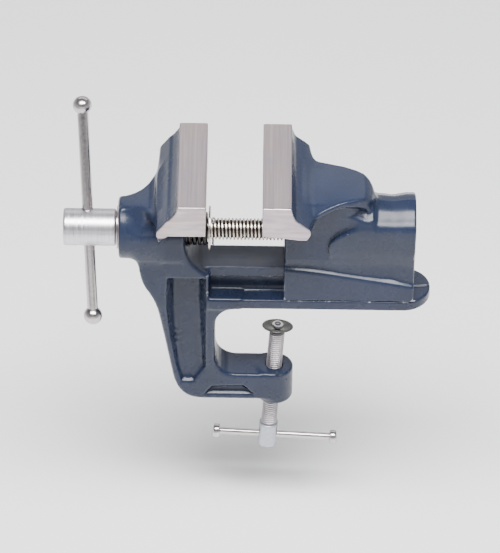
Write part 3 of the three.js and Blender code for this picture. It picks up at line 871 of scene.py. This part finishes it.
def slide_material():
    """Machined and oiled: dark, with dull lines along the slide."""
    m = material("oiled_slide", srgb(56, 59, 70), 0.42, 0.5)
    n = Nodes(m)
    lines = n.noise(1.0, 3, 0.6, n.scaled((25, 900, 900)))
    patches = n.noise(60, 3)
    color = n.ramp(patches, [(0.3, srgb(42, 45, 56)), (0.55, srgb(56, 59, 70)), (0.75, srgb(66, 66, 66))])
    n.link(color, n.shader.inputs["Base Color"])
    n.link(n.remap(patches, 0.3, 0.7, 0.36, 0.52), n.shader.inputs["Roughness"])
    n.link(n.bump(lines, 0.3, 0.0001), n.shader.inputs["Normal"])
    return m


def metal_material(name, color, rough, streak, scale=(600, 600, 600), spread=0.12):
    m = material(name, color, rough, 1.0)
    n = Nodes(m)
    lines = n.noise(1.0, 3, 0.6, n.scaled(scale))
    dark = tuple(c * (1 - spread) for c in color)
    light = tuple(min(c * (1 + spread), 1) for c in color)
    n.link(n.ramp(lines, [(0.3, dark), (0.7, light)]), n.shader.inputs["Base Color"])
    n.link(n.remap(lines, 0.3, 0.7, max(rough - streak, 0.03), rough + streak), n.shader.inputs["Roughness"])
    n.link(n.bump(n.noise(350, 3), 0.08, 0.0002), n.shader.inputs["Normal"])
    return m


def thread_material(name, color, root_shade_color, rough):
    """A cut thread: bright crests, and painted shade darkening the roots, patchy with noise."""
    m = material(name, color, rough, 1.0)
    n = Nodes(m)
    # Painted shade: towards the bottom of each root the colour is mixed towards a dark root colour.
    root_shade = n.math("MULTIPLY", n.attribute("root"), n.remap(n.noise(260, 4), 0.25, 0.6, 0.6, 1.1))
    lines = n.noise(420, 4)
    crest = n.ramp(lines, [(0.3, tuple(c * 0.82 for c in color)), (0.7, color)])
    n.link(n.mix(n.remap(root_shade, 0.25, 0.8, 0, 1), crest, root_shade_color), n.shader.inputs["Base Color"])
    n.link(n.remap(lines, 0.3, 0.7, rough - 0.06, rough + 0.1), n.shader.inputs["Roughness"])
    n.link(n.bump(n.noise(900, 3), 0.15, 0.0001), n.shader.inputs["Normal"])
    return m


PAINT = paint_material()
GROUND_TOP = ground_material("ground_jaw_top", (900, 14, 900))
GROUND_END = ground_material("ground_jaw_end", (60, 900, 420), 0.6)
SLIDE = slide_material()
POLISHED = metal_material("polished_steel", srgb(190, 184, 184), 0.22, 0.05)
TURNED = metal_material("turned_steel", srgb(206, 204, 210), 0.34, 0.08, (1500, 60, 60))
WASHER = metal_material("washer_steel", srgb(196, 190, 184), 0.26, 0.06)
THREAD = thread_material("main_thread", srgb(222, 212, 200), srgb(60, 56, 52), 0.3)
ZINC_THREAD = thread_material("zinc_thread", srgb(208, 202, 206), srgb(112, 108, 112), 0.42)
ZINC = metal_material("zinc_plate", srgb(172, 175, 184), 0.42, 0.06)
# Painted shade: the pad's steel is a much darker copy of the plated steel, standing in for the shade on the
# dished pad.
SHADED_PAD_STEEL = metal_material("pad_steel_painted_shade", srgb(104, 104, 100), 0.22, 0.05)
BLACK = metal_material("black_spring_steel", srgb(52, 50, 50), 0.35, 0.08)
NUT_STEEL = metal_material("nut_steel", srgb(150, 145, 138), 0.4, 0.08)


def dress(piece, *materials):
    piece.data.materials.clear()
    for m in materials:
        piece.data.materials.append(m)


def show(piece, body, slot, *nodes):
    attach(piece, body)
    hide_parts(*nodes)


# ------------------------------------------------------------------ the castings

def split_at(piece, planes):
    """Cuts the faces along (axis, value in mm) planes, so that a finish can end exactly there."""
    work = bmesh.new()
    work.from_mesh(piece.data)
    for axis, value in planes:
        normal = [0, 0, 0]
        normal[axis] = 1
        point = [0, 0, 0]
        point[axis] = value * MM
        geometry = work.verts[:] + work.edges[:] + work.faces[:]
        bmesh.ops.bisect_plane(work, geom=geometry, dist=1e-7, plane_co=point, plane_no=normal)
    work.to_mesh(piece.data)
    work.free()


def assign(piece, index, test):
    data = piece.data
    centres = np.empty(len(data.polygons) * 3)
    data.polygons.foreach_get("center", centres)
    centres = centres.reshape(-1, 3) / MM
    current = np.empty(len(data.polygons), dtype=np.int32)
    data.polygons.foreach_get("material_index", current)
    current[test(centres[:, 0], centres[:, 1], centres[:, 2])] = index
    data.polygons.foreach_set("material_index", current)


# Material slots of the castings, and how deep a ground finish wraps round an edge.
TOP_SLOT = 1
END_SLOT = 2
SLIDE_SLOT = 3
SKIN = 0.45
SLIDE_SKIN = 0.6
SLIDE_MARGIN = 1.3
EDGE_SKIN = 0.3


def make_fixed_casting():
    f = Field(FIXED_LOW, FIXED_HIGH, VOXEL)
    piece = field_mesh("fixed_casting", f, fixed_distance(f))
    dress(piece, PAINT, GROUND_TOP, GROUND_END, SLIDE)
    split_at(piece, [
        (2, JAW_TOP - SKIN),
        (0, FIXED_GRIP_X - SKIN),
        (1, JAW_HALF - SKIN),
        (1, SKIN - JAW_HALF),
        (2, BEAM_TOP - SLIDE_SKIN),
        (0, NECK_FRONT_X - EDGE_SKIN),
        (1, NECK_HALF - SLIDE_MARGIN),
        (1, SLIDE_MARGIN - NECK_HALF),
        (0, BOSS_FACE_X + EDGE_SKIN),
    ])
    assign(piece, TOP_SLOT, lambda x, y, z: (x > FIXED_GRIP_X - SKIN) & (z > JAW_UNDER - 0.2))
    assign(piece, END_SLOT, lambda x, y, z: (np.abs(y) > JAW_HALF - SKIN) & (z > JAW_UNDER - 1))
    assign(piece, TOP_SLOT, lambda x, y, z: z > JAW_TOP - SKIN)
    assign(piece, END_SLOT, lambda x, y, z: x < BOSS_FACE_X + EDGE_SKIN)
    assign(piece, SLIDE_SLOT, lambda x, y, z: (x > NECK_FRONT_X - EDGE_SKIN) & (z > BEAM_TOP - SLIDE_SKIN)
        & (z < JAW_UNDER - 2) & (np.abs(y) < NECK_HALF - SLIDE_MARGIN))
    show(piece, "frame", "paint", "fixed_body")


def make_moving_casting():
    f = Field(MOVING_LOW, MOVING_HIGH, VOXEL)
    piece = field_mesh("moving_casting", f, moving_distance(f))
    dress(piece, PAINT, GROUND_TOP, GROUND_END)
    split_at(piece, [
        (2, JAW_TOP - SKIN),
        (0, MOVING_GRIP_X + SKIN),
        (1, JAW_HALF - SKIN),
        (1, SKIN - JAW_HALF),
    ])
    assign(piece, TOP_SLOT, lambda x, y, z: x < MOVING_GRIP_X + SKIN)
    assign(piece, END_SLOT, lambda x, y, z: (np.abs(y) > JAW_HALF - SKIN) & (z > JAW_UNDER - 2))
    assign(piece, TOP_SLOT, lambda x, y, z: z > JAW_TOP - SKIN)
    show(piece, "moving_jaw", "paint", "moving_jaw")


# ------------------------------------------------------------------ screw, washers, spring, pin

def make_main_screw():
    head = revolve("main_screw_head", bevelled([
        (0, HEAD_START_X),
        (HEAD_R, HEAD_START_X),
        (HEAD_R, HEAD_END_X),
        (SCREW_R, HEAD_END_X),
        (SCREW_R, NECK_FRONT_X - 4),
        (0, NECK_FRONT_X - 4),
    ], 1.5, 5), ALONG_SCREW, 128)
    drill(head, BAR_R + 0.3, 20, axis_matrix(BAR_CENTRE, BAR_AXIS), 64)
    dress(head, TURNED)
    show(head, "main_screw", "polished_steel", "main_screw")
    thread = threaded("main_screw_thread", SCREW_R, SCREW_PITCH, 1.15, NECK_FRONT_X - 3.9,
        SCREW_END_X, ALONG_SCREW)
    dress(thread, THREAD)
    show(thread, "main_screw", "polished_steel", "main_screw")


def washer(name, node, inner, body, slot, finish, size=0.25):
    low, high = box_mm(node)
    outer = (high[1] - low[1]) / 2
    seam = (inner, (low[0] + high[0]) / 2)
    corners = [(inner, low[0]), (outer, low[0]), (outer, high[0]), (inner, high[0])]
    ring = bevelled([seam] + corners + [seam], size)
    piece = revolve(name, ring[:-1], ALONG_SCREW, 96, closed=True)
    dress(piece, finish)
    show(piece, body, slot, node)


def make_spring():
    """A close coil with its end turns laid flat."""
    low, high = box_mm("jaw_spring")
    wire = 1.15
    radius = (high[1] - low[1]) / 2 - wire
    length = high[0] - low[0] - 2 * wire
    turns = 5.6
    flat = 0.9
    steps = int(turns * 40)
    path = []
    for i in range(steps + 1):
        t = i / steps * turns
        rise = length * np.interp(t, [0, flat, turns - flat, turns], [0, 0.03, 0.97, 1])
        angle = 2 * math.pi * t
        path.append(((low[0] + wire + rise) * MM, radius * MM * math.cos(angle),
            (SCREW_Z + radius * math.sin(angle)) * MM))
    piece = tube("spring_coil", path, wire * MM)
    dress(piece, BLACK)
    show(piece, "main_screw", "black_steel", "jaw_spring")


def make_split_pin():
    """A doubled wire: an eye above the screw, and two ends splayed below it."""
    low, high = box_mm("split_pin")
    x = (low[0] + high[0]) / 2
    wire = 0.55
    eye = 1.5
    top = high[2] - eye - wire
    apart = wire * 1.02
    rise = np.linspace(low[2] + 3, SCREW_Z + SCREW_R + 0.2, 8)
    left = [(-apart, z) for z in rise]
    loop = [(-eye * math.cos(a), top + eye * math.sin(a)) for a in np.radians(np.linspace(-50, 230, 18))]
    right = [(apart, z) for z in rise[::-1]]
    splay_left = [(-3.6, low[2] + 0.8), (-2.4, low[2] + 1.1), (-1.1, low[2] + 1.9)]
    splay_right = [(1.0, low[2] + 1.8), (2.0, low[2] + 0.9), (2.9, low[2] + 0.6)]
    outline = splay_left + left + loop + right + splay_right
    path = [(x * MM, y * MM, z * MM) for y, z in spline(outline, 3)]
    piece = tube("split_pin_wire", path, wire * MM, 10)
    dress(piece, ZINC)
    show(piece, "main_screw", "zinc", "split_pin")


def make_nut():
    low, high = box_mm("main_nut")
    outer = 9.0
    shoulder = (high[1] - low[1]) / 2
    bore = SCREW_R + 0.05
    profile = [(bore, 20), (bore, low[0]), (outer, low[0]), (outer, high[0] - 3), (shoulder, high[0] - 3),
        (shoulder, high[0]), (bore, high[0]), (bore, 20)]
    piece = revolve("nut_bush", bevelled(profile, 0.5)[:-1], ALONG_SCREW, 96, closed=True)
    dress(piece, NUT_STEEL)
    show(piece, "moving_jaw", "steel", "main_nut")


# ------------------------------------------------------------------ bars and knobs

def make_bar(name, node, knobs, axis, radius, body, knob_profile):
    start = middle(knobs[0])
    end = middle(knobs[1])
    frame_matrix = axis_matrix(start, axis)
    length = (end - start).length / MM
    piece = revolve(name, bevelled([(0, 0), (radius, 0), (radius, length), (0, length)], 0.3),
        frame_matrix, 64)
    dress(piece, POLISHED)
    show(piece, body, "polished_steel", node)
    for knob, centre, away in ((knobs[0], start, -axis), (knobs[1], end, axis)):
        ball = revolve(knob + "_turned", knob_profile, axis_matrix(centre, away), 64)
        dress(ball, POLISHED)
        show(ball, body, "polished_steel", knob)


def ball_profile(radius, neck):
    angles = np.radians(np.linspace(-52, 90, 22))
    round_part = [(radius * math.cos(a), radius * math.sin(a) * 0.97) for a in angles]
    base = round_part[0]
    return [(0, base[1]), (neck, base[1])] + round_part[:-1] + [(0, radius * 0.97)]


def button_profile(radius, length, neck):
    half = length / 2
    inner = [(neck, -half), (radius * 0.86, -half + 0.15), (radius, -half + 0.9)]
    outer = [(radius * 0.99, half - 1.3), (radius * 0.8, half - 0.35), (radius * 0.4, half), (0, half)]
    return spline(inner + outer, 3)


# ------------------------------------------------------------------ clamp screw and pad

CLAMP_R = 4.4
CLAMP_SHOULDER = -97.1
CLAMP_HEAD_R = 5.35
CLAMP_HEAD_END = -113.0
CLAMP_THREAD_TOP = -27.6
CLAMP_PITCH = 1.5
CLAMP_TIP_R = 1.5
CLAMP_BAR_R = 1.95
CLAMP_KNOB_R = 4.0
CLAMP_KNOB_LENGTH = 4.4
PAD_TILT = math.radians(15)
COLLAR_BASE = -24.1


def make_clamp_screw():
    head = revolve("clamp_screw_head", bevelled([
        (0, CLAMP_HEAD_END),
        (CLAMP_HEAD_R, CLAMP_HEAD_END),
        (CLAMP_HEAD_R, CLAMP_SHOULDER),
        (CLAMP_R - 0.6, CLAMP_SHOULDER + 0.3),
        (0, CLAMP_SHOULDER + 0.3),
    ], 0.7, 4), CLAMP_FRAME, 96)
    drill(head, CLAMP_BAR_R + 0.25, 9, axis_matrix(CLAMP_BAR_CENTRE, CLAMP_BAR_AXIS), 48)
    dress(head, ZINC)
    show(head, "clamp_screw", "zinc", "clamp_screw")
    thread = threaded("clamp_screw_thread", CLAMP_R, CLAMP_PITCH, 0.75, CLAMP_SHOULDER + 0.1,
        CLAMP_THREAD_TOP, CLAMP_FRAME)
    dress(thread, ZINC_THREAD)
    show(thread, "clamp_screw", "zinc", "clamp_screw")
    tip = revolve("clamp_screw_tip", bevelled([
        (0, CLAMP_THREAD_TOP - 0.5),
        (CLAMP_TIP_R, CLAMP_THREAD_TOP - 0.5),
        (CLAMP_TIP_R, -24.0),
        (0.9, -23.4),
        (0, -23.3),
    ], 0.4), CLAMP_FRAME, 48)
    dress(tip, ZINC)
    show(tip, "clamp_screw", "zinc", "clamp_screw")


def make_pad():
    """The dished pad, leaning on its stop, and the collar on the tip under it."""
    centre = Vector(joint("pad_tilt")["pos_m"])
    normal = (Matrix.Rotation(-PAD_TILT, 3, CLAMP_BAR_AXIS) @ CLAMP_AXIS).normalized()
    upper = [(2.2, 0.0), (3.1, -0.1), (4.4, 0.25), (6.5, 0.62), (8.2, 0.72), (8.75, 0.5)]
    under = [(8.6, 0.1), (7.4, -0.3), (5.0, -0.6), (3.0, -0.75), (2.2, -0.65)]
    piece = revolve("pad_dished", spline(upper + under, 3), axis_matrix(centre, normal), 96, closed=True)
    # The darker pad steel carries painted shade.
    dress(piece, SHADED_PAD_STEEL)
    show(piece, "clamp_pad", "zinc", "clamp_pad")
    base = COLLAR_BASE
    inner = [(1.75, base + 0.45), (1.85, base)]
    outer = [(2.8, base), (3.0, base + 0.3), (2.7, base + 0.75), (2.1, base + 0.8), (1.8, base + 0.75)]
    ring = inner + outer
    collar = revolve("pad_collar", ring, CLAMP_FRAME, 64, closed=True)
    dress(collar, POLISHED)
    show(collar, "clamp_carrier", "zinc", "pad_ring")


# ------------------------------------------------------------------ stage, lights and camera

FLOOR_HALF = 3.0
FLOOR_DROP = 0.045


def make_stage():
    """A pale floor, low enough for the clamp screw's whole travel."""
    half = FLOOR_HALF
    z = CAD_BOX[0][2] - FLOOR_DROP
    corners = [(-half, -half, z), (half, -half, z), (half, half, z), (-half, half, z)]
    floor = mesh_piece("floor", corners, [(0, 1, 2, 3)], smooth=False)
    m = material("pale_floor", (0.93, 0.93, 0.93), 0.9)
    n = Nodes(m)
    tone = n.ramp(n.noise(3), [(0.3, (0.92, 0.92, 0.92)), (0.7, (0.94, 0.94, 0.94))])
    n.link(tone, n.shader.inputs["Base Color"])
    dress(floor, m)


def area_light(name, place, target, width, height, power):
    data = bpy.data.lights.new(name, "AREA")
    data.energy = power
    data.shape = "RECTANGLE"
    data.size = width
    data.size_y = height
    obj = bpy.data.objects.new(name, data)
    obj.location = place
    obj.rotation_euler = (Vector(target) - Vector(place)).to_track_quat("-Z", "Y").to_euler()
    bpy.context.collection.objects.link(obj)


def make_world():
    """Bright round the horizon and dim above it, as in a studio with a low white surround."""
    world = bpy.data.worlds.new("studio")
    world.use_nodes = True
    tree = world.node_tree
    back = tree.nodes["Background"]
    place = tree.nodes.new("ShaderNodeTexCoord")
    split = tree.nodes.new("ShaderNodeSeparateXYZ")
    ramp = tree.nodes.new("ShaderNodeValToRGB")
    tree.links.new(place.outputs["Generated"], split.inputs["Vector"])
    tree.links.new(split.outputs["Z"], ramp.inputs["Fac"])
    tree.links.new(ramp.outputs["Color"], back.inputs["Color"])
    stops = ramp.color_ramp.elements
    stops[0].color = (0.95, 0.95, 0.97, 1)
    stops[1].color = (0.3, 0.3, 0.32, 1)
    for where, level in ((0.22, 0.7), (0.42, 0.26), (0.8, 0.2)):
        stops.new(where).color = (level, level, level * 1.03, 1)
    back.inputs["Strength"].default_value = 1.0
    bpy.context.scene.world = world


def make_lights():
    make_world()
    centre = (0, 0, 0.03)
    area_light("top_box", (0, -0.38, 1.2), centre, 1.25, 0.5, 56)
    area_light("back_panel", (0.05, 1.3, 1.0), centre, 2.0, 0.8, 7.6)
    area_light("front_low", (-0.1, -1.5, 0.2), centre, 1.6, 0.3, 1.5)


ELEVATION = math.radians(40)
ROLL = math.radians(0.8)
LENS_MM = 254.2134
SENSOR_MM = 36
CAMERA_DISTANCE = 2.14775
AIM = Vector((-0.01764, 0, SCREW_Z * MM))
AIM_RISE = 0.026125


def make_camera():
    """Long lens, looking down at the vise's side from the front, with the image turned a little."""
    forward = Vector((0, math.cos(ELEVATION), -math.sin(ELEVATION)))
    level = Vector((1, 0, 0))
    square = level.cross(forward)
    right = level * math.cos(ROLL) + square * math.sin(ROLL)
    up = square * math.cos(ROLL) - level * math.sin(ROLL)
    place = AIM - forward * CAMERA_DISTANCE - up * AIM_RISE
    data = bpy.data.cameras.new("camera")
    data.sensor_fit = "VERTICAL"
    data.sensor_height = SENSOR_MM
    data.sensor_width = SENSOR_MM
    data.lens = LENS_MM
    data.clip_end = 20
    obj = bpy.data.objects.new("camera", data)
    turn = Matrix((right, up, -forward)).transposed().to_4x4()
    obj.matrix_world = Matrix.Translation(place) @ turn
    bpy.context.collection.objects.link(obj)
    bpy.context.scene.camera = obj


# ------------------------------------------------------------------ build

make_camera()
make_fixed_casting()
make_moving_casting()
make_main_screw()
washer("thrust_washer_turned", "thrust_washer", SCREW_R + 0.3, "main_screw", "polished_steel", POLISHED)
washer("retaining_washer_turned", "retaining_washer", SCREW_R + 0.3, "main_screw", "steel", WASHER)
make_spring()
make_split_pin()
make_nut()
MAIN_KNOBS = ("main_bar_knob_lower", "main_bar_knob_upper")
make_bar("main_bar_rod", "main_bar", MAIN_KNOBS, BAR_AXIS, BAR_R, "main_bar", ball_profile(KNOB_R, BAR_R))
make_clamp_screw()
make_pad()
CLAMP_KNOBS = ("clamp_bar_knob_left", "clamp_bar_knob_right")
BUTTON = button_profile(CLAMP_KNOB_R, CLAMP_KNOB_LENGTH, CLAMP_BAR_R)
make_bar("clamp_bar_rod", "clamp_bar", CLAMP_KNOBS, CLAMP_BAR_AXIS, CLAMP_BAR_R, "clamp_bar", BUTTON)
make_stage()
make_lights()
